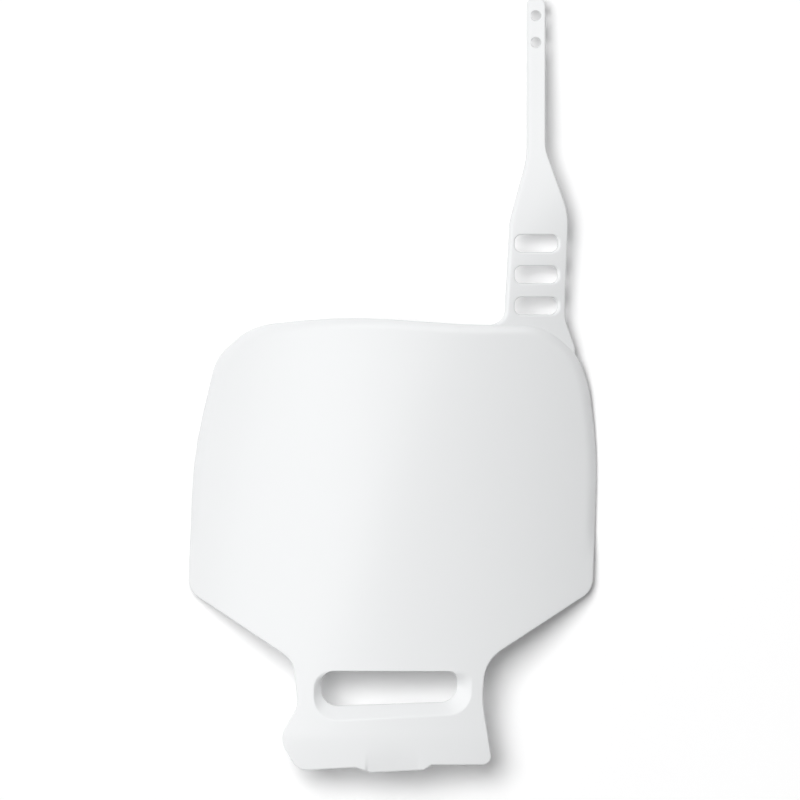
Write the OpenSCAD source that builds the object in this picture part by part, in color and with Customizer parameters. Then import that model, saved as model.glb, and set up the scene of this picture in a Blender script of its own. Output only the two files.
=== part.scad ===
// Front number board of a competition motorbike: one moulding in white plastic.
// It lies face up on its two side edges. X runs across the board, Y along it towards
// the tip of the fixing strap, and Z out of the face.
// Inside the modules, x is measured from the crest of the curved face, y from the
// board's top edge, and a depth from the front of the face towards the bend axis.

/* [Face] */
// Widest part of the board
panel_w = 235; // [215:1:255]
// Top edge down to the two side corners
side_h = 157; // [145:1:180]
// Top edge down to where the sides are fullest
belly_h = 79; // [70:1:90]
// Radius to which the face is bent across its width
face_r = 230; // [200:1:300]
// Thickness of the moulding
wall = 2.4; // [1.8:0.1:3.2]
// How far the left side leans in at the top
lean_left = 16; // [8:0.5:20]
// How far the right side leans in at the top
lean_right = 10.5; // [6:0.5:16]
// Radius of the two side corners
side_r = 18; // [10:1:24]
// Radius of the two top corners
top_r = 48; // [36:1:56]
// Radius where a top corner runs into its side
shoulder_r = 30; // [20:1:40]

/* [Rolled edge] */
// Width of the edge that rolls back along the top and the sides
roll_w = 6; // [4:0.5:8]
// How far the edge drops below the face
roll_drop = 2; // [1:0.1:2.6]
// Length over which the roll fades out at each end
roll_fade = 24; // [12:1:40]

/* [Lower tab] */
// Side corners down to the waist
taper_h = 40.5; // [34:0.5:48]
// Width of the waist
waist_w = 110.6; // [104:0.2:124]
// Waist down to the bottom edge
tab_h = 60; // [56:0.5:70]
// Width of the tab's foot
foot_w = 123; // [116:0.5:134]
// Height of the chamfered left corner
chamfer_h = 19; // [14:0.5:24]
// How far the bottom edge sweeps back
lip_bend = 2; // [0.5:0.1:3]
// Height of the swept strip along the bottom edge
lip_h = 17; // [12:0.5:20]

/* [Recess in the bottom edge] */
// Width of the recess at its floor
recess_w = 29; // [20:0.5:34]
// Depth of the recess
recess_depth = 1.6; // [0.8:0.1:2.4]
// Height of the recess above the bottom edge
recess_h = 7; // [5:0.5:10]
// How far the recessed tongue reaches past the bottom edge
tongue = 3; // [1:0.1:5]

/* [Window] */
// Width of the opening
window_w = 78.6; // [66:0.2:82]
// Height of the opening
window_h = 19; // [15:0.2:21]
// Waist down to the top of the opening
window_drop = 6; // [4:0.2:10]
// Width of the dished wall at the left end
dish_left = 4.4; // [3:0.1:6]
// Width of the dished wall at the right end
dish_right = 8.6; // [5:0.1:9.4]
// Width of the dished wall below the opening
dish_low = 8.4; // [5:0.1:10]
// Depth of the dish at the rim of the opening
dish_depth = 5; // [2:0.1:7]

/* [Strap] */
// Centre of the strap from the crest of the face
strap_x = 82.8; // [76:0.1:86]
// Tip of the strap above the top edge
strap_l = 184; // [150:1:220]
// Width of the strap
strap_w = 11; // [10:0.1:14]
// Thickness of the strap
strap_t = 2.8; // [2.2:0.1:3.4]
// Radius of the strap's end corners
tip_r = 4; // [2:0.1:5]
// Width of the slotted root
root_w = 34.3; // [31:0.1:38]
// Top edge up to where the root narrows
root_l = 57; // [52:0.5:64]
// Length over which the root narrows to the strap
neck_l = 37; // [26:0.5:46]
// Depth of the root below the face
strap_step = 1.9; // [1.2:0.1:2.3]
// How far the strap's tip bends back
tip_drop = 8; // [0:0.5:9]
// Radius between the root and the top edge
root_fillet = 15.6; // [10:0.2:18]

/* [Slots and holes] */
// Number of slots in the root
slot_n = 3; // [1:1:3]
// Length of a slot, across the strap
slot_w = 24.3; // [18:0.1:25]
// Width of a slot
slot_h = 10; // [7:0.1:11.5]
// Corner radius of a slot
slot_r = 4; // [2:0.1:5]
// Spacing of the slots
slot_pitch = 18; // [15:0.1:18.5]
// Centre of the lowest slot above the top edge
slot_y = 6.9; // [6:0.1:8.5]
// Diameter of the two fixing holes
hole_d = 5.6; // [3:0.1:7]
// Spacing of the fixing holes
hole_pitch = 15.4; // [10:0.1:20]
// Tip of the strap to the first hole
hole_end = 10; // [6:0.1:14]

/* [Hidden] */
$fn = 180;
white = [0.93, 0.94, 0.94];
half_w = panel_w / 2;
arc_step = 6;           // degrees between the points of an arc
span_step = 8;          // longest stretch between two stations of a swept edge
lap = 1;                // how far a swept edge runs into what carries it
seat = 0.03;            // how far it lies below the surface there
end_seat = 0.5;         // how far the two ends of a swept edge lie inside
dish_seat = 0.35;       // how far the dish lies inside the sheet that carries it
dish_stretch = 1.15;    // the dish's back falls faster than its front, so that its wall keeps its thickness
mouth_gap = 0.3;        // flat margin between the sheet's cut-out and the dish
row_gap = 0.35;         // least distance between two rings of the strap
tiny = 0.01;

// Heights down the board
waist_y = -side_h - taper_h;
foot_y = waist_y - tab_h;
waist_x = -1.7;         // the tab stands a little left of the crest
roll_y = -side_h + 14;  // the roll ends above the side corners

// Outline of the board without its strap, clockwise from the left side: x, y, radius
left_side = [[-half_w + 3, -belly_h, 240], [-half_w + lean_left, -23, shoulder_r]];
top_side = [[-half_w + lean_left + 20, -4.7, top_r], [-27, 0.9, 300], [40, -3.7, 150]];
right_side = [
  [half_w - lean_right - 19, -4.7, top_r], [half_w - lean_right, -21.4, shoulder_r],
  [half_w - 3.9, -40.4, 60], [half_w + 0.6, -belly_h, 240]
];
right_corner = [half_w - 2, -side_h, side_r];
left_corner = [-half_w, -side_h, side_r];
waist_right = waist_x + waist_w / 2;
waist_left = waist_x - waist_w / 2;
foot_right = waist_x - 2 + foot_w / 2;
foot_left = waist_x - 2 - foot_w / 2;
recess_x = 0.2;         // middle of the recess
recess_runs = [1.2, 3, 3.5];  // run of its left, right and upper wall for each millimetre of height
lip_rise = 1.5;         // the bottom edge is higher at the right
tab_side = [
  [waist_right, waist_y, 32], [waist_right - 1.7, waist_y - 23, 50], [foot_right, foot_y, 5],
  [recess_x + recess_w / 2 + 8, foot_y, 1.5], [recess_x + recess_w / 2 + 3.3, foot_y - tongue, 2.5],
  [recess_x - recess_w / 2 + 2, foot_y - tongue - lip_rise, 3],
  [recess_x - recess_w / 2 - 7, foot_y - lip_rise, 5],
  [foot_left + 10.6, foot_y - 2.3 * lip_rise, 10], [foot_left, foot_y + chamfer_h - 3.5, 12],
  [waist_left + 2.6, waist_y - 26, 12], [waist_left, waist_y, 15]
];

// Points along the sides where the roll starts and ends
function on_line(a, b, y) = [a.x + (b.x - a.x) * (y - a.y) / (b.y - a.y), y, 0];
roll_start = on_line(left_corner, left_side[0], roll_y);
roll_end = on_line(right_corner, right_side[3], roll_y);

// Geometry of outlines: arcs in the corners of a list of [x, y, radius]
function flat(p) = [p.x, p.y];
function unit(v) = v / norm(v);
function turn(a) = a > 180 ? a - 360 : a < -180 ? a + 360 : a;
function arc_at(a, b, c, r, n = 0) =
  let (
    u = unit(a - b), v = unit(c - b), half = acos(u * v) / 2,
    reach = min(r / tan(half), 0.48 * norm(a - b), 0.48 * norm(c - b)),
    rad = reach * tan(half), middle = b + unit(u + v) * rad / sin(half),
    from = b + u * reach - middle, to = b + v * reach - middle,
    a0 = atan2(from.y, from.x), sweep = turn(atan2(to.y, to.x) - a0),
    steps = n > 0 ? n : max(1, ceil(abs(sweep) / arc_step))
  )
  [for (i = [0:steps]) middle + rad * [cos(a0 + sweep * i / steps), sin(a0 + sweep * i / steps)]];
function rounded(v, n = 0) =
  let (k = len(v))
  [for (i = [0:k - 1])
    let (before = flat(v[(i + k - 1) % k]), after = flat(v[(i + 1) % k]))
    each arc_at(before, flat(v[i]), after, v[i][2], n)];
function rounded_path(v) =
  let (k = len(v))
  [
    flat(v[0]),
    for (i = [1:k - 2]) each arc_at(flat(v[i - 1]), flat(v[i]), flat(v[i + 1]), v[i][2]),
    flat(v[k - 1])
  ];
function between(a, b, n) = [for (i = [0:n - 1]) a + (b - a) * i / n];
function spaced(p, step) =
  [
    for (i = [0:len(p) - 2]) each between(p[i], p[i + 1], max(1, ceil(norm(p[i + 1] - p[i]) / step))),
    p[len(p) - 1]
  ];
function smooth(t) = let (c = max(0, min(1, t))) c * c * (3 - 2 * c);

// Height above the bend axis of a point at a depth below the face
function face_z(x, depth) = sqrt(pow(face_r - depth, 2) - x * x);

// The outline's two parts: the rolled edge, and the plain rest with the tab
rolled_corners = [roll_start, each left_side, each top_side, each right_side, roll_end];
roll_path = spaced(rounded_path(rolled_corners), span_step);
rest_path = rounded_path([roll_end, right_corner, each tab_side, left_corner, roll_start]);
outline = concat(rest_path, roll_path);

// Inward direction at station i of the rolled edge, whose inside lies on its right
function roll_normal(i) =
  let (k = len(roll_path) - 1, d = unit(roll_path[min(k, i + 1)] - roll_path[max(0, i - 1)]))
  [d.y, -d.x];
roll_length = [for (i = 0, s = 0; i < len(roll_path); i = i + 1,
  s = i < len(roll_path) ? s + norm(roll_path[i] - roll_path[i - 1]) : s) s];
roll_total = roll_length[len(roll_length) - 1];
function roll_share(i) =
  smooth(roll_length[i] / roll_fade) * smooth((roll_total - roll_length[i]) / roll_fade);

// Where the board rests: the lowest point of the rolled edge
floor_z = min([
  for (i = [0:len(roll_path) - 1]) face_z(roll_path[i].x, wall - seat + roll_drop * roll_share(i))
]);
left_x = min([for (p = outline) p.x]);
right_x = max([for (p = outline) p.x]);
low_y = min([for (p = outline) p.y]);
centre = [(left_x + right_x) / 2, (low_y + strap_l) / 2];

// A solid through a list of rings with the same number of points each
module skin(rings, closed = false) {
  n = len(rings);
  m = len(rings[0]);
  last = closed ? n - 1 : n - 2;
  sides = [for (i = [0:last]) for (j = [0:m - 1])
    let (this = i * m, next = ((i + 1) % n) * m, k = (j + 1) % m)
    each [[this + j, this + k, next + k], [this + j, next + k, next + j]]];
  caps = closed ? [] : [[for (j = [m - 1:-1:0]) j], [for (j = [0:m - 1]) (n - 1) * m + j]];
  polyhedron(points = [for (ring = rings) each ring], faces = concat(sides, caps), convexity = 6);
}

// Solid of revolution under the face, a depth below its front
module under_face(depth) {
  r = face_r - depth;
  rotate([-90, 0, 0])
    rotate_extrude()
      polygon([
        [0, foot_y - 20], [r - lip_bend, foot_y - 20], [r - lip_bend, foot_y - 4],
        [r - 0.4 * lip_bend, foot_y + 0.4 * lip_h], [r - 0.1 * lip_bend, foot_y + 0.75 * lip_h],
        [r, foot_y + lip_h], [r, 20], [0, 20]
      ]);
}

module prism(points) {
  linear_extrude(height = face_r + 20) polygon(points);
}

// Curved sheet of the face and the tab, inside the rolled edge
module sheet() {
  inner = [for (i = [0:len(roll_path) - 1]) roll_path[i] + roll_w * roll_normal(i)];
  intersection() {
    difference() {
      under_face(0);
      under_face(wall);
    }
    prism(concat(rest_path, inner));
  }
}

// Edge of the face, which rolls back by roll_drop
function roll_ring(i, shift = [0, 0], inset = 0, level = seat) =
  let (
    p = roll_path[i] + shift, nrm = roll_normal(i), share = roll_share(i) * roll_drop,
    at = [roll_w + lap, roll_w, 0.7 * roll_w, 0.4 * roll_w, 0.2 * roll_w, inset],
    sink = [for (n = at) share * pow(max(0, 1 - n / roll_w), 2)],
    front = [for (k = [0:5]) let (q = p + at[k] * nrm) [q.x, q.y, face_z(q.x, level + sink[k])]],
    back = [for (k = [5:-1:0]) let (q = p + at[k] * nrm) [q.x, q.y, face_z(q.x, wall - level + sink[k])]]
  )
  concat(front, back);

module rolled_edge() {
  k = len(roll_path) - 1;
  run_in = lap * unit(roll_path[0] - roll_path[1]);
  run_out = lap * unit(roll_path[k] - roll_path[k - 1]);
  skin([
    roll_ring(0, run_in, end_seat, end_seat),
    for (i = [0:k]) roll_ring(i),
    roll_ring(k, run_out, end_seat, end_seat)
  ]);
}

// Opening in the tab and the dished wall round its ends and its lower side
window_y = waist_y - window_drop;
window_x = -1.5;
hole_l = window_x - window_w / 2;
hole_r = window_x + window_w / 2;
window_rim = [
  [hole_l, window_y, 7], [hole_r, window_y, 5],
  [hole_r - 1.4, window_y - window_h + 1.5, 10], [hole_l, window_y - window_h - 1.2, 11.5]
];
dish_edge = [
  [hole_l - dish_left, window_y + 0.8, 11], [hole_r + dish_right, window_y + 0.8, 6.5],
  [hole_r + dish_right - 1.4, window_y - window_h - dish_low + 2.5, 14],
  [hole_l - dish_left, window_y - window_h - dish_low - 1.8, 17]
];
function loop_points(v) =
  let (p = rounded(v, 8), k = len(p))
  [for (i = [0:k - 1]) each between(p[i], p[(i + 1) % k], (i + 1) % 9 == 0 ? 7 : 1)];

// Outward direction at point i of a closed loop that runs clockwise
function loop_normal(p, i) =
  let (k = len(p), d = unit(p[(i + 1) % k] - p[(i + k - 1) % k]))
  [-d.y, d.x];
dish_loop = loop_points(dish_edge);
away = [[-1, 1, 3], [1, 1, 3], [1, -1, 3], [-1, -1, 3]];
dish_mouth = rounded([for (k = [0:3]) dish_edge[k] + mouth_gap * away[k]], 5);

module dish() {
  rim = loop_points(window_rim);
  steps = [0, 0.5, 1];
  rings = [for (i = [0:len(rim) - 1])
    let (
      edge = dish_loop[i],
      deep = dish_depth * smooth((window_y - rim[i].y) / 9),
      outer = edge + lap * loop_normal(dish_loop, i),
      plan = concat([outer], [for (f = steps) edge + (rim[i] - edge) * f]),
      sink = concat([0], deep * steps),
      thick = wall - 2 * dish_seat
    )
    concat(
      [for (k = [0:3])
        [plan[k].x, plan[k].y, face_z(plan[k].x, dish_seat + thick + dish_stretch * sink[k])]],
      [for (k = [3:-1:0]) [plan[k].x, plan[k].y, face_z(plan[k].x, dish_seat + sink[k])]]
    )];
  skin(rings, closed = true);
}

// Recess pushed back into the middle of the bottom edge: the room from a depth up to a height
recess_back = recess_depth + 0.6 * lip_bend;
module recess_form(grow, rise) {
  side = 0.8 * grow;
  left = recess_x - recess_w / 2 - side;
  right = recess_x + recess_w / 2 + side;
  top = foot_y + recess_h + side;
  low = foot_y - 12;
  hull()
    for (z = [0, rise])
      translate([left - recess_runs[0] * z, low, face_r - recess_back - grow + z])
        cube([right - left + (recess_runs[0] + recess_runs[1]) * z, top - low + recess_runs[2] * z, tiny]);
}

// Sides of the strap as x for a height y, from the tip down to under the face
tip_y = strap_l;
neck_y = root_l + neck_l;
strap_left = strap_x - strap_w / 2;
strap_right = strap_x + strap_w / 2;
root_left = strap_x + 1.7 - root_w / 2;
root_right = strap_x + 1.7 + root_w / 2;
left_path = rounded_path([
  [strap_right, tip_y, 0], [strap_left, tip_y, tip_r], [strap_left, neck_y - 2, 45],
  [root_left, root_l - 1, 35], [root_left - 3.5, -4.05, root_fillet], [root_left - 22, -4.05, 0]
]);
right_path = rounded_path([
  [strap_left, tip_y, 0], [strap_right, tip_y, tip_r], [strap_right, neck_y + 3, 25],
  [root_right, root_l + 3, 40], [root_right - 2.2, 0, 25], [root_right + 6.6, -25, 0]
]);
function side_table(path, floor_y) =
  [for (i = [1:len(path) - 1]) if (path[i].y > floor_y) [path[i].y, path[i].x]];
root_end = -31;
left_table = concat(side_table(left_path, -3.9), [[-4.05, root_left - 18.6], [root_end, root_right - 8]]);
right_table = concat(side_table(right_path, -24.9), [[-25, root_right + 6.6], [root_end, root_right + 4.5]]);

// Heights of the strap's rings: those of both sides, and more where it twists and bends
function sorted(v) =
  len(v) < 2 ? v :
  let (p = v[floor(len(v) / 2)])
  concat(sorted([for (x = v) if (x > p) x]), [p], sorted([for (x = v) if (x < p) x]));
function thinned(v, gap, i = 0, last = 1000) =
  i == len(v) ? [] :
  last - v[i] > gap ? concat([v[i]], thinned(v, gap, i + 1, v[i])) :
  thinned(v, gap, i + 1, last);
strap_rows = thinned(sorted(concat(
  [for (p = left_table) p[0]], [for (p = right_table) p[0]],
  [for (y = [root_end + 3:3:-5]) y], [for (y = [1:5:neck_y + 20]) y + 0.37],
  [for (y = [neck_y + 30:15:tip_y - 8]) y + 0.37]
)), row_gap);

// The root lies along the bent face, and the strap untwists until it is level
function twist(y) = 1 - smooth((y + 5) / (neck_y + 16));
function strap_z(x, y) =
  twist(y) * face_z(x, strap_step) + (1 - twist(y)) * face_z(strap_x, strap_step)
  - tip_drop * pow(max(0, (y - root_l) / (tip_y - root_l)), 1.6);
function strap_ring(y) =
  let (
    l = lookup(y, left_table) + strap_t * sin(twist(y) * asin(strap_x / face_r)),
    r = lookup(y, right_table),
    front = [[l, 0.9], [l + 0.35, 0.3], for (k = [0:5]) [l + 1 + (r - l - 2) * k / 5, 0],
             [r - 0.35, 0.3], [r, 0.9]],
    back = [[r, strap_t - 0.5], for (k = [5:-1:0]) [l + 0.5 + (r - l - 1) * k / 5, strap_t],
            [l, strap_t - 0.5]]
  )
  [for (p = concat(front, back))
    let (a = twist(y) * asin(p.x / face_r))
    [p.x - p.y * sin(a), y, strap_z(p.x, y) - p.y * cos(a)]];

module strap() {
  skin([for (y = strap_rows) strap_ring(y)]);
}

module slot() {
  linear_extrude(height = face_r + 20)
    polygon(rounded([
      [-slot_w / 2, slot_h / 2, slot_r], [slot_w / 2, slot_h / 2, slot_r],
      [slot_w / 2, -slot_h / 2, slot_r], [-slot_w / 2, -slot_h / 2, slot_r]
    ]));
}

module number_board() {
  color(white)
    translate([-centre.x, -centre.y, -floor_z])
      difference() {
        union() {
          difference() {
            sheet();
            prism(dish_mouth);
          }
          rolled_edge();
          dish();
          strap();
          intersection() {
            recess_form(wall, recess_back + wall / 2);
            under_face(0.3);
            prism(outline);
          }
        }
        recess_form(0, recess_back + 3);
        for (i = [0:slot_n - 1])
          translate([strap_x, slot_y + i * slot_pitch, 0])
            slot();
        for (i = [0:1])
          translate([strap_x, tip_y - hole_end - i * hole_pitch, 0])
            cylinder(d = hole_d, h = face_r + 20);
      }
}

number_board();
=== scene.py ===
import math

import bmesh
import bpy
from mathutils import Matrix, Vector


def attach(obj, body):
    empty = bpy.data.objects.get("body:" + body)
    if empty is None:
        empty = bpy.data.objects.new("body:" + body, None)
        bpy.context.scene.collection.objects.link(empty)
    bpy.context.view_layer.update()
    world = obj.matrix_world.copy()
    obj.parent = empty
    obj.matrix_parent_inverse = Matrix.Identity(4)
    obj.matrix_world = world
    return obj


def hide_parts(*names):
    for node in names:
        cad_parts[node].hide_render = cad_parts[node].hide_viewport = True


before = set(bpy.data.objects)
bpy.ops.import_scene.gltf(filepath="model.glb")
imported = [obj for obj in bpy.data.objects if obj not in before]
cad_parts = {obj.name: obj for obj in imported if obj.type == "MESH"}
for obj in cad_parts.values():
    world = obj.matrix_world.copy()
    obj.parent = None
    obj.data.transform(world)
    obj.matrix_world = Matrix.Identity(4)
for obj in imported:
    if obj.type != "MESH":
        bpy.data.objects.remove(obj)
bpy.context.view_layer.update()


# Outlines, in flat millimetres: a corner is (x, y, radius)
def flatUnit(a, b):
    length = math.hypot(b[0] - a[0], b[1] - a[1])
    return (b[0] - a[0]) / length, (b[1] - a[1]) / length


def cornerArc(before, corner, after, steps=None, stepAngle=4):
    ux, uy = flatUnit(corner, before)
    vx, vy = flatUnit(corner, after)
    half = math.acos(max(-1, min(1, ux * vx + uy * vy))) / 2
    reach = min(
        corner[2] / math.tan(half),
        0.48 * math.dist(corner[:2], before[:2]), 0.48 * math.dist(corner[:2], after[:2]),
    )
    radius = reach * math.tan(half)
    mx, my = flatUnit((0, 0), (ux + vx, uy + vy))
    cx, cy = corner[0] + mx * radius / math.sin(half), corner[1] + my * radius / math.sin(half)
    start = math.atan2(corner[1] + uy * reach - cy, corner[0] + ux * reach - cx)
    sweep = math.atan2(corner[1] + vy * reach - cy, corner[0] + vx * reach - cx) - start
    sweep = (sweep + math.pi) % (2 * math.pi) - math.pi
    steps = steps or max(2, math.ceil(abs(math.degrees(sweep)) / stepAngle))
    angles = [start + sweep * i / steps for i in range(steps + 1)]
    return [(cx + radius * math.cos(angle), cy + radius * math.sin(angle)) for angle in angles]


def roundedPath(corners, steps=None):
    points = [corners[0][:2]]
    for before, corner, after in zip(corners, corners[1:], corners[2:]):
        points += cornerArc(before, corner, after, steps)
    return points + [corners[-1][:2]]


def roundedLoop(corners, steps=None):
    count = len(corners)
    points = []
    for i in range(count):
        points += cornerArc(corners[i - 1], corners[i], corners[(i + 1) % count], steps)
    return points


def between(a, b, share):
    return a[0] + (b[0] - a[0]) * share, a[1] + (b[1] - a[1]) * share


def spaced(points, gapAt, closed=False):
    ends = points + points[:1] if closed else points
    result = []
    for a, b in zip(ends, ends[1:]):
        pieces = max(1, math.ceil(math.dist(a, b) / gapAt(*between(a, b, 0.5))))
        result += [between(a, b, i / pieces) for i in range(pieces)]
    return result if closed else result + [ends[-1]]


def evenLoop(corners, arcSteps, sideSteps):
    # The same number of points on each arc and side, so that two such loops pair up
    points = roundedLoop(corners, arcSteps)
    result = []
    for i, (a, b) in enumerate(zip(points, points[1:] + points[:1])):
        pieces = sideSteps if (i + 1) % (arcSteps + 1) == 0 else 1
        result += [between(a, b, k / pieces) for k in range(pieces)]
    return result


def inwardNormals(loop):
    # The loops run clockwise, so the inside is on the right
    count = len(loop)
    units = [flatUnit(loop[i - 1], loop[(i + 1) % count]) for i in range(count)]
    return [(uy, -ux) for ux, uy in units]


def lengthsAlong(points):
    lengths = [0]
    for a, b in zip(points, points[1:]):
        lengths.append(lengths[-1] + math.dist(a, b))
    return lengths


def smooth(t):
    t = max(0, min(1, t))
    return t * t * (3 - 2 * t)


def softMin(a, b, blend):
    overlap = max(blend - abs(a - b), 0) / blend
    return min(a, b) - overlap * overlap * blend / 4


# Mesh steps: each works on the piece it is given
def named(name):
    piece = bpy.context.object
    piece.name = name
    return piece


def alone(piece):
    bpy.ops.object.select_all(action="DESELECT")
    bpy.context.view_layer.objects.active = piece
    piece.select_set(True)


def editing(piece, selectMode="EDGE"):
    alone(piece)
    bpy.ops.object.mode_set(mode="EDIT")
    bpy.ops.mesh.select_mode(type=selectMode)
    bpy.ops.mesh.select_all(action="DESELECT")
    return bmesh.from_edit_mesh(piece.data)


def ringBand(name, rings, weld=0.0005):
    # A grid whose rows take the places of the rings, closed along its seam
    columns, rows = len(rings[0]), len(rings) - 1
    bpy.ops.object.select_all(action="DESELECT")
    bpy.ops.mesh.primitive_grid_add(x_subdivisions=columns, y_subdivisions=rows, size=1)
    band = named(name)
    for vertex in band.data.vertices:
        column = round((vertex.co.x + 0.5) * columns) % columns
        vertex.co = rings[round((vertex.co.y + 0.5) * rows)][column]
    editing(band)
    bpy.ops.mesh.select_all(action="SELECT")
    bpy.ops.mesh.remove_doubles(threshold=weld)
    bpy.ops.object.mode_set(mode="OBJECT")
    return band


def joined(pieces, name):
    bpy.ops.object.select_all(action="DESELECT")
    for piece in pieces:
        piece.select_set(True)
    bpy.context.view_layer.objects.active = pieces[0]
    bpy.ops.object.join()
    return named(name)


def fillLevel(piece, depth):
    mesh = editing(piece)
    for edge in mesh.edges:
        edge.select = edge.is_boundary and all(abs(v.co.z + depth) < 0.001 for v in edge.verts)
    bpy.ops.mesh.fill(use_beauty=False)
    bpy.ops.mesh.dissolve_limited(angle_limit=math.radians(0.5))
    bpy.ops.object.mode_set(mode="OBJECT")


def sliced(piece, depths, normal, cuts, low=(-300, -400), high=(300, 300)):
    # Cuts the level faces at these depths into strips, inside a window, so that they can bend
    mesh = editing(piece, "FACE")
    for face in mesh.faces:
        middle = face.calc_center_median()
        face.select = (
            any(all(abs(v.co.z + depth) < 0.001 for v in face.verts) for depth in depths)
            and low[0] < middle.x < high[0] and low[1] < middle.y < high[1]
        )
    bpy.ops.mesh.hide(unselected=True)
    for cut in cuts:
        bpy.ops.mesh.select_all(action="SELECT")
        bpy.ops.mesh.bisect(plane_co=(cut, cut, 0), plane_no=normal)
    bpy.ops.mesh.reveal(select=False)
    bpy.ops.object.mode_set(mode="OBJECT")


def evenCuts(low, high, gap):
    count = math.ceil((high - low) / gap)
    return [low + (high - low) * i / count for i in range(1, count)]


across, along = (1, 0, 0), (0, 1, 0)

# The board lies flat at first: x from the crest of its face, y from its top edge, z down from
# the face. Its edge is one band of rings, and the face and back are filled in afterwards.
board = {
    "width": 235, "sideHeight": 157, "bellyHeight": 79, "bendRadius": 230, "wall": 2.4,
    "leanLeft": 16, "leanRight": 10.5, "sideRadius": 18, "topRadius": 48, "shoulderRadius": 30,
    "rollWidth": 6, "rollDrop": 2, "rollFade": 24, "rollEnd": 143,
    "bandWidth": 7, "narrowBand": 1.7, "bandFade": 26, "pointGap": 2.5, "fineGap": 0.7,
    "frontEdge": [(1.0, 0.0), (0.7, 0.01), (0.45, 0.07), (0.22, 0.2), (0.07, 0.42), (0.0, 0.72)],
    "backEdge": [(0.0, 1.98), (0.04, 2.18), (0.16, 2.33), (0.4, 2.4)],
    "frontShares": [1, 0.94, 0.8, 0.66, 0.52, 0.4, 0.28, 0.18, 0.08],
    "backShares": [0.05, 0.2, 0.35, 0.5, 0.7, 0.9, 1],
}
tab = {
    "centreX": -1.7, "waistY": -197.5, "waistWidth": 110.6, "height": 60, "footWidth": 123,
    "chamfer": 19, "lipBend": 2, "lipHeight": 17, "lipRise": 1.5, "lipPower": 1.35,
    "recessX": 0.2, "recessWidth": 29, "recessHeight": 8, "recessSlope": 0.14, "tongue": 3,
    "recessLeft": 1.2, "recessRight": 5, "recessBlend": 0.8,
}
halfWidth, wall = board["width"] / 2, board["wall"]
footY = tab["waistY"] - tab["height"]
recessLeft = tab["recessX"] - tab["recessWidth"] / 2
recessRight = recessLeft + tab["recessWidth"]


def onLine(a, b, y):
    return a[0] + (b[0] - a[0]) * (y - a[1]) / (b[1] - a[1]), y, 0


leftSide = [
    (-halfWidth + 3, -board["bellyHeight"], 240),
    (-halfWidth + board["leanLeft"], -23, board["shoulderRadius"]),
]
topSide = [
    (-halfWidth + board["leanLeft"] + 20, -4.7, board["topRadius"]), (-27, 0.9, 300), (40, -3.7, 150),
]
rightSide = [
    (halfWidth - board["leanRight"] - 19, -4.7, board["topRadius"]),
    (halfWidth - board["leanRight"], -21.4, board["shoulderRadius"]),
    (halfWidth - 3.9, -40.4, 60), (halfWidth + 0.6, -board["bellyHeight"], 240),
]
rightCorner = (halfWidth - 2, -board["sideHeight"], board["sideRadius"])
leftCorner = (-halfWidth, -board["sideHeight"], board["sideRadius"])
rollStart = onLine(leftCorner, leftSide[0], -board["rollEnd"])
rollStop = onLine(rightCorner, rightSide[3], -board["rollEnd"])
waistRight = tab["centreX"] + tab["waistWidth"] / 2
waistLeft = tab["centreX"] - tab["waistWidth"] / 2
footRight = tab["centreX"] - 2 + tab["footWidth"] / 2
footLeft = tab["centreX"] - 2 - tab["footWidth"] / 2
tabSide = [
    (waistRight, tab["waistY"], 32), (waistRight - 1.7, tab["waistY"] - 23, 50), (footRight, footY, 5),
    (recessRight + 8, footY, 1.5), (recessRight + 3.3, footY - tab["tongue"], 2.5),
    (recessLeft + 2, footY - tab["tongue"] - tab["lipRise"], 3),
    (recessLeft - 7, footY - tab["lipRise"], 5),
    (footLeft + 10.6, footY - 2.3 * tab["lipRise"], 10), (footLeft, footY + tab["chamfer"] - 3.5, 12),
    (waistLeft + 2.6, tab["waistY"] - 26, 12), (waistLeft, tab["waistY"], 15),
]


def contourGap(x, y):
    nearRecess = y < footY + 8 and recessLeft - 14 < x < recessRight + 14
    return board["fineGap"] if nearRecess else board["pointGap"]


rolled = spaced(roundedPath([rollStart] + leftSide + topSide + rightSide + [rollStop]), contourGap)
plain = spaced(roundedPath([rollStop, rightCorner] + tabSide + [leftCorner, rollStart]), contourGap)
contour = rolled + plain[1:-1]
inward = inwardNormals(contour)

# The roll fades in and out along its path, and past its ends the edge's band grows narrow
rollAlong, plainAlong = lengthsAlong(rolled), lengthsAlong(plain)
rollShare = [
    smooth(s / board["rollFade"]) * smooth((rollAlong[-1] - s) / board["rollFade"]) for s in rollAlong
]
rollShare += [0] * (len(plain) - 2)
bandWidths = [board["bandWidth"]] * len(rolled)
for s in plainAlong[1:-1]:
    nearEnd = smooth(1 - min(s, plainAlong[-1] - s) / board["bandFade"])
    bandWidths.append(board["narrowBand"] + (board["bandWidth"] - board["narrowBand"]) * nearEnd)


def boardRing(inset, depth, share=0):
    # share places a ring between the rounded edge and the band's inner side
    ring = []
    for (x, y), (nx, ny), width, roll in zip(contour, inward, bandWidths, rollShare):
        reach = inset + (width - inset) * share
        drop = board["rollDrop"] * roll * max(0, 1 - reach / board["rollWidth"]) ** 2
        ring.append((x + nx * reach, y + ny * reach, -depth - drop))
    return ring


boardRings = [boardRing(board["frontEdge"][0][0], 0, share) for share in board["frontShares"]]
boardRings += [boardRing(inset, depth) for inset, depth in board["frontEdge"] + board["backEdge"]]
boardRings += [boardRing(board["backEdge"][-1][0], wall, share) for share in board["backShares"]]
boardBand = ringBand("boardEdge", boardRings)

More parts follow.
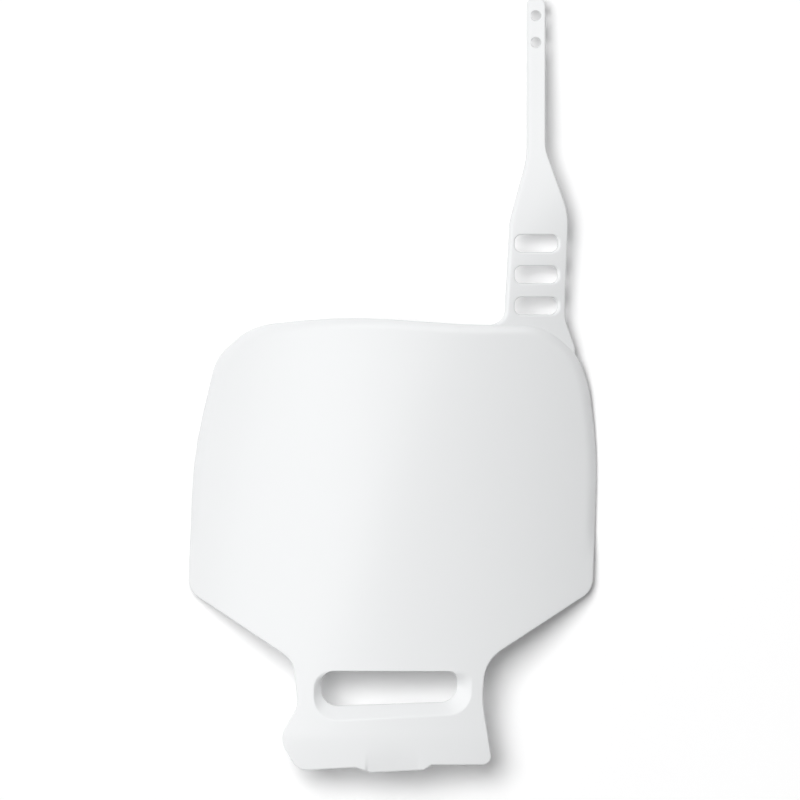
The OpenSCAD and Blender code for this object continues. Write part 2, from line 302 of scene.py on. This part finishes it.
# The window lies in a pressed dish: one band of rings runs down the slope, round the rim and
# back up behind. Each ring is set by its distance from the dish's edge towards the rim.
window = {
    "x": -1.5, "drop": 6, "width": 78.6, "height": 19,
    "dishLeft": 4.4, "dishRight": 8.6, "dishLow": 8.4, "dishDepth": 5, "dishRun": 9,
    "skirt": 0.8, "backStretch": 1.06, "arcSteps": 12, "sideSteps": 16,
    "rimFront": [(0.55, 0.0), (0.3, 0.04), (0.14, 0.14), (0.04, 0.3), (0, 0.55)],
    "rimBack": [(0, 0.4), (0.05, 0.18), (0.16, 0.05), (0.4, 0)],
}
windowY = tab["waistY"] - window["drop"]
lowY = windowY - window["height"]
holeLeft, holeRight = window["x"] - window["width"] / 2, window["x"] + window["width"] / 2
windowRim = [
    (holeLeft, windowY, 7), (holeRight, windowY, 5), (holeRight - 1.4, lowY + 1.5, 10),
    (holeLeft, lowY - 1.2, 11.5),
]
dishEdge = [
    (holeLeft - window["dishLeft"], windowY + 0.8, 11),
    (holeRight + window["dishRight"], windowY + 0.8, 6.5),
    (holeRight + window["dishRight"] - 1.4, lowY - window["dishLow"] + 2.5, 14),
    (holeLeft - window["dishLeft"], lowY - window["dishLow"] - 1.8, 17),
]
rimLoop = evenLoop(windowRim, window["arcSteps"], window["sideSteps"])
dishLoop = evenLoop(dishEdge, window["arcSteps"], window["sideSteps"])
dishInward = inwardNormals(dishLoop)


def slopeDepth(s, width, fall):
    # A straight slope with a rounded crease where it leaves the face
    crease = 0.5 * min(1, width / 3)
    if s <= -crease:
        return 0
    return fall / width * ((s + crease) ** 2 / (4 * crease) if s < crease else s)


def dishRing(placeOn, depthOn):
    ring = []
    for rim, edge, (nx, ny) in zip(rimLoop, dishLoop, dishInward):
        width = math.dist(rim, edge)
        fall = window["dishDepth"] * smooth((windowY - rim[1]) / window["dishRun"])
        s = placeOn(width)
        x, y = between(edge, rim, s / width) if s > 0 else (edge[0] + nx * s, edge[1] + ny * s)
        ring.append((x, y, -depthOn(slopeDepth(s, width, fall))))
    return ring


def creaseRing(share):
    return dishRing(lambda width: 0.5 * min(1, width / 3) * share, lambda slope: slope)


def slopeRing(share):
    def placeOn(width):
        first, last = 0.5 * min(1, width / 3), width - 0.6
        return first + max(0, last - first) * share
    return dishRing(placeOn, lambda slope: slope)


def frontRimRing(back, drop):
    return dishRing(lambda width: width - min(back, 0.6 * width), lambda slope: slope + drop)


def backRimRing(back, lift, share=1):
    return dishRing(
        lambda width: (width - min(back, 0.6 * width)) * share,
        lambda slope: wall + window["backStretch"] * slope - lift,
    )


def skirtRing(depth):
    return dishRing(lambda width: -window["skirt"], lambda slope: depth)


dishRings = [skirtRing(0)] + [creaseRing(share) for share in (-1, -0.5, 0, 0.5, 1)]
dishRings += [slopeRing(share) for share in (0.25, 0.5, 0.75)]
dishRings += [frontRimRing(back, drop) for back, drop in window["rimFront"]]
dishRings += [backRimRing(back, lift) for back, lift in window["rimBack"]]
dishRings += [backRimRing(window["rimBack"][-1][0], 0, share) for share in (0.75, 0.5, 0.25)]
dishRings += [skirtRing(wall)]
dishBand = ringBand("windowDish", dishRings)

shell = joined([boardBand, dishBand], "boardShell")
fillLevel(shell, 0)
fillLevel(shell, wall)
lipLow, lipHigh = (recessLeft - 12, footY - 8), (recessRight + 16, footY + 16)
sliced(shell, (0, wall), across, evenCuts(-halfWidth, halfWidth, 3))
sliced(shell, (0, wall), along, evenCuts(footY, 0, 7))
sliced(shell, (0, wall), along, evenCuts(footY - 6, footY + 20, 2))
sliced(shell, (0, wall), across, evenCuts(lipLow[0], lipHigh[0], board["fineGap"]), lipLow, lipHigh)
sliced(shell, (0, wall), along, evenCuts(lipLow[1], lipHigh[1], board["fineGap"]), lipLow, lipHigh)
print("board drawn flat:", len(shell.data.polygons), "faces")


# Bending the flat board: the tab's lip sweeps back and a recess is pressed into it
def lipDepth(y):
    t = max(0, min(1, (footY + tab["lipHeight"] - y) / (tab["lipHeight"] + 4)))
    return tab["lipBend"] * t ** tab["lipPower"]


def recessHeight(x, y):
    # The floor slopes out of the tab, so the recess has side walls only
    ramp = tab["recessSlope"] * (y - footY - tab["recessHeight"])
    leftWall = max(0, recessLeft - x) / tab["recessLeft"]
    rightWall = max(0, x - recessRight) / tab["recessRight"]
    return board["bendRadius"] - lipDepth(y) + ramp + leftWall + rightWall


def boardPoint(x, y, depth):
    radius = board["bendRadius"] - lipDepth(y) - depth
    z = math.sqrt(radius * radius - x * x)
    if y < footY + 18 and abs(x) < 45:
        z = softMin(z, recessHeight(x, y) - depth, tab["recessBlend"])
    return x, y, z


# The strap: outline, three slots and two holes
strap = {
    "x": 82.8, "tip": 184, "width": 11, "thickness": 2.8, "tipRadius": 4,
    "rootWidth": 34.3, "rootLength": 57, "neck": 37, "step": 1.9, "tipDrop": 8, "rootFillet": 15.6,
    "leftBevel": 1.2, "rightRim": 1.1, "lowRim": 0.6,
    "slotCount": 3, "slotLeft": 12.15, "slotWidth": 25.1, "slotHeight": 10, "slotRadius": 4,
    "slotPitch": 18, "slotY": 6.9, "holeDiameter": 5.6, "holePitch": 15.4, "holeEnd": 10, "rowGap": 3,
    "frontEdge": [(1.2, 0), (0.9, 0.01), (0.6, 0.07), (0.3, 0.23), (0.1, 0.5), (0, 0.85)],
    "backEdge": [(0, 2.3), (0.05, 2.54), (0.2, 2.73), (0.5, 2.8), (1.2, 2.8)],
    "frontRim": [(-0.9, 0), (-0.6, 0.02), (-0.32, 0.12), (-0.12, 0.32), (0, 0.65)],
    "backRim": [(0, 2.45), (-0.12, 2.7), (-0.4, 2.8), (-0.9, 2.8)],
}
strapLeft, strapRight = strap["x"] - strap["width"] / 2, strap["x"] + strap["width"] / 2
neckY = strap["rootLength"] + strap["neck"]
rootLeft = strap["x"] + 1.7 - strap["rootWidth"] / 2
rootRight = strap["x"] + 1.7 + strap["rootWidth"] / 2
strapCorners = [
    (strapLeft, strap["tip"], strap["tipRadius"]), (strapRight, strap["tip"], strap["tipRadius"]),
    (strapRight, neckY + 3, 25), (rootRight, strap["rootLength"] + 3, 40), (rootRight - 2.2, 0, 25),
    (rootRight + 6, -23, 20), (rootRight - 8, -29, 3), (rootLeft - 19, -8, 4),
    (rootLeft - 20, -4.05, 1), (rootLeft - 3.5, -4.05, strap["rootFillet"]),
    (rootLeft, strap["rootLength"] - 1, 35), (strapLeft, neckY - 2, 45),
]
strapOutline = spaced(roundedLoop(strapCorners), lambda x, y: strap["rowGap"], closed=True)
strapInward = inwardNormals(strapOutline)


def twist(y):
    # The strap leaves the board with the face's slant and lies level from its neck on
    return 1 - smooth((y + 5) / (neckY + 16))


def leanAngle(x, y):
    return twist(y) * math.asin(x / board["bendRadius"])


def sunkFace(x):
    return math.sqrt((board["bendRadius"] - strap["step"]) ** 2 - x * x)


def strapPoint(x, y, depth):
    bend = max(0, (y - strap["rootLength"]) / (strap["tip"] - strap["rootLength"])) ** 1.6
    z = twist(y) * sunkFace(x) + (1 - twist(y)) * sunkFace(strap["x"]) - strap["tipDrop"] * bend
    lean = leanAngle(x, y)
    return x - depth * math.sin(lean), y, z - depth * math.cos(lean)


def strapRing(inset, depth, bevel=0):
    # The left side stands in by the strap's lean, so that its back edge keeps the outline,
    # and its front edge has the wider bevel
    ring = []
    for (x, y), (nx, ny) in zip(strapOutline, strapInward):
        shift = strap["thickness"] * math.sin(leanAngle(strap["x"], y)) * max(0, nx)
        wide = 1 + bevel * max(0, nx)
        ring.append((x + nx * inset * wide + shift, y + ny * inset * wide, -depth * wide))
    return ring


def openingRing(loop, inset, depth, right=0, low=0):
    # The rims are rounded outwards, away from the opening, and wider at its right and lower side
    ring = []
    for (x, y), (nx, ny) in zip(loop, inwardNormals(loop)):
        wide = 1 + max(0, -right * nx, low * ny)
        ring.append((x + nx * inset * wide, y + ny * inset * wide, -depth * wide))
    return ring


def openingBand(name, loop, right=0, low=0):
    rings = [openingRing(loop, inset, depth, right, low) for inset, depth in strap["frontRim"]]
    rings += [openingRing(loop, inset, depth) for inset, depth in strap["backRim"]]
    return ringBand(name, rings)


strapRings = [strapRing(inset, depth, strap["leftBevel"]) for inset, depth in strap["frontEdge"]]
strapRings += [strapRing(inset, depth) for inset, depth in strap["backEdge"]]
strapBands = [ringBand("strapEdge", strapRings)]
slotLeft = strap["x"] - strap["slotLeft"]
slotRight = slotLeft + strap["slotWidth"]
for i in range(strap["slotCount"]):
    slotY = strap["slotY"] + i * strap["slotPitch"]
    slotTop, slotLow = slotY + strap["slotHeight"] / 2, slotY - strap["slotHeight"] / 2
    slotCorners = [
        (x, y, strap["slotRadius"]) for x, y in (
            (slotLeft, slotTop), (slotRight, slotTop), (slotRight, slotLow), (slotLeft, slotLow),
        )
    ]
    slotLoop = evenLoop(slotCorners, 10, 6)
    strapBands.append(openingBand("slotRim", slotLoop, strap["rightRim"], strap["lowRim"]))
for i in range(2):
    holeY, radius = strap["tip"] - strap["holeEnd"] - i * strap["holePitch"], strap["holeDiameter"] / 2
    angles = [math.tau * k / 40 for k in range(40)]
    circle = [(strap["x"] + radius * math.cos(a), holeY - radius * math.sin(a)) for a in angles]
    strapBands.append(openingBand("holeRim", circle))

strapShell = joined(strapBands, "strapShell")
thick = strap["thickness"]
fillLevel(strapShell, 0)
fillLevel(strapShell, thick)
sliced(strapShell, (0, thick), along, evenCuts(-35, strap["tip"], strap["rowGap"]))
sliced(strapShell, (0, thick), across, evenCuts(rootLeft - 22, rootRight + 8, strap["rowGap"]))
print("strap drawn flat:", len(strapShell.data.polygons), "faces")

# Both are bent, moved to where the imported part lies, and made one moulding
placing = {"centreX": 0.130085, "centreY": -38.9865, "floorZ": 192.619, "sharpAngle": 38}


def bent(piece, bend):
    for vertex in piece.data.vertices:
        x, y, z = bend(vertex.co.x, vertex.co.y, -vertex.co.z)
        moved = Vector((x - placing["centreX"], y - placing["centreY"], z - placing["floorZ"]))
        vertex.co = moved / 1000
    editing(piece)
    bpy.ops.mesh.select_all(action="SELECT")
    bpy.ops.mesh.normals_make_consistent(inside=False)
    bpy.ops.object.mode_set(mode="OBJECT")


bent(shell, boardPoint)
bent(strapShell, strapPoint)
alone(shell)
union = shell.modifiers.new("strapUnion", "BOOLEAN")
union.operation, union.solver, union.object = "UNION", "MANIFOLD", strapShell
bpy.ops.object.modifier_apply(modifier=union.name)
bpy.data.objects.remove(strapShell, do_unlink=True)
shell.name = "numberBoard"
bpy.ops.object.shade_smooth_by_angle(angle=math.radians(placing["sharpAngle"]))
print("board and strap in one:", len(shell.data.polygons), "faces")


# Materials
class Signal:
    def __init__(self, graph, socket):
        self.graph, self.socket = graph, socket

    def maths(self, operation, *values):
        return self.graph.add("ShaderNodeMath", {"operation": operation}, dict(enumerate(values)))[0]

    def __add__(self, other):
        return self.maths("ADD", self, other)

    def __radd__(self, other):
        return self.maths("ADD", other, self)

    def __mul__(self, other):
        return self.maths("MULTIPLY", self, other)

    def __rmul__(self, other):
        return self.maths("MULTIPLY", other, self)


class Graph:
    def __init__(self, owner):
        owner.use_nodes = True
        self.owner, self.tree = owner, owner.node_tree
        self.tree.nodes.clear()

    def add(self, kind, settings=None, values=None):
        node = self.tree.nodes.new(kind)
        for key, value in (settings or {}).items():
            setattr(node, key, value)
        for key, value in (values or {}).items():
            if isinstance(value, Signal):
                self.tree.links.new(value.socket, node.inputs[key])
            else:
                node.inputs[key].default_value = value
        return [Signal(self, socket) for socket in node.outputs]


plastic = {
    "colour": (0.848, 0.858, 0.863), "shade": (0.836, 0.846, 0.853), "cloudScale": 14,
    "roughness": 0.25, "roughSpread": 0.03, "grainScale": 1600, "grainDepth": 0.00001,
    "waveScale": 38, "waveDepth": 0.0001, "bumpStrength": 0.6,
}


def whitePlastic():
    g = Graph(bpy.data.materials.new("whitePlastic"))
    spot = g.add("ShaderNodeTexCoord")[3]
    clouds, grain, waves = (
        g.add("ShaderNodeTexNoise", {}, {"Vector": spot, "Scale": plastic[scale], "Detail": detail})[0]
        for scale, detail in (("cloudScale", 3), ("grainScale", 2), ("waveScale", 1))
    )
    colour = g.add(
        "ShaderNodeMix", {"data_type": "RGBA"},
        {0: clouds, 6: plastic["colour"] + (1,), 7: plastic["shade"] + (1,)},
    )[2]
    roughness = plastic["roughness"] - plastic["roughSpread"] / 2 + plastic["roughSpread"] * clouds
    relief = grain * plastic["grainDepth"] + waves * plastic["waveDepth"]
    bump = g.add(
        "ShaderNodeBump", {},
        {"Height": relief, "Strength": plastic["bumpStrength"], "Distance": 1.0},
    )[0]
    surface = g.add(
        "ShaderNodeBsdfPrincipled", {},
        {"Base Color": colour, "Roughness": roughness, "Normal": bump, "IOR": 1.49},
    )[0]
    g.add("ShaderNodeOutputMaterial", {}, {"Surface": surface})
    return g.owner


shell.data.materials.clear()
shell.data.materials.append(whitePlastic())
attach(shell, "root")
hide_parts("number_board")
print("plastic on the board")

# Studio: a white floor that keeps the shadow, one softbox high on the upper left, and a pale
# card above whose lower edge makes the soft slanted step in the face's sheen
studio = {
    "floorSize": 16, "floorColour": (0.99, 0.99, 0.992, 1), "floorGlow": 0.06,
    "boxTilt": (17, 14), "boxDistance": 10, "boxSize": 6.2, "boxPower": 915,
    "cardEdge": (0.004, -0.053), "cardHeight": 0.33, "cardTurn": 38.8, "cardSize": (1.4, 0.26),
    "cardGlow": 2.05, "worldLevel": 0.2, "white": (1, 1, 1, 1),
}


def rayWhite(g):
    # One where the camera, a gloss or a clear piece looks at it, and nought for the light
    path = g.add("ShaderNodeLightPath")
    return path[0] + path[3] + path[6]


def studioFloor():
    g = Graph(bpy.data.materials.new("studioFloor"))
    paper = g.add("ShaderNodeBsdfDiffuse", {}, {"Color": studio["floorColour"]})[0]
    strength = rayWhite(g) * studio["floorGlow"]
    glow = g.add("ShaderNodeEmission", {}, {"Color": studio["white"], "Strength": strength})[0]
    both = g.add("ShaderNodeAddShader", {}, {0: paper, 1: glow})[0]
    g.add("ShaderNodeOutputMaterial", {}, {"Surface": both})
    return g.owner


def glowingCard():
    g = Graph(bpy.data.materials.new("glowingCard"))
    look = {"Color": studio["white"], "Strength": studio["cardGlow"]}
    glow = g.add("ShaderNodeEmission", {}, look)[0]
    g.add("ShaderNodeOutputMaterial", {}, {"Surface": glow})
    return g.owner


def studioWorld():
    g = Graph(bpy.data.worlds.new("studioWorld"))
    dim, white = (
        g.add("ShaderNodeBackground", {}, {"Color": studio["white"], "Strength": strength})[0]
        for strength in (studio["worldLevel"], 1)
    )
    both = g.add("ShaderNodeMixShader", {}, {0: rayWhite(g), 1: dim, 2: white})[0]
    g.add("ShaderNodeOutputWorld", {}, {"Surface": both})
    return g.owner


bpy.ops.object.select_all(action="DESELECT")
bpy.ops.mesh.primitive_plane_add(size=studio["floorSize"], location=(0, 0, 0))
floor = named("floor")
floor.data.materials.append(studioFloor())

turn = math.radians(studio["cardTurn"])
halfDepth = studio["cardSize"][1] / 2
cardX = studio["cardEdge"][0] - math.sin(turn) * halfDepth
cardY = studio["cardEdge"][1] + math.cos(turn) * halfDepth
cardPlace = (cardX, cardY, studio["cardHeight"])
bpy.ops.mesh.primitive_plane_add(size=1, location=cardPlace, rotation=(0, 0, turn))
card = named("card")
card.scale = (*studio["cardSize"], 1)
card.data.materials.append(glowingCard())
card.visible_camera = card.visible_diffuse = card.visible_shadow = False

leanAcross, leanAlong = (math.tan(math.radians(angle)) for angle in studio["boxTilt"])
toBox = Vector((-leanAcross, leanAlong, 1))
bpy.ops.object.light_add(type="AREA", location=toBox.normalized() * studio["boxDistance"])
softbox = named("softbox")
softbox.rotation_euler = toBox.to_track_quat("Z", "Y").to_euler()
softbox.data.size = studio["boxSize"]
softbox.data.energy = studio["boxPower"]
softbox.visible_glossy = False
bpy.context.scene.world = studioWorld()

view = {"x": 0.00433, "y": -0.00836, "height": 1.5, "span": 0.4608}
bpy.ops.object.camera_add(location=(view["x"], view["y"], view["height"]), rotation=(0, 0, 0))
camera = named("camera")
camera.data.type = "ORTHO"
camera.data.ortho_scale = view["span"]
bpy.context.scene.camera = camera
bpy.context.scene.view_settings.view_transform = "Standard"
print("studio and camera set")
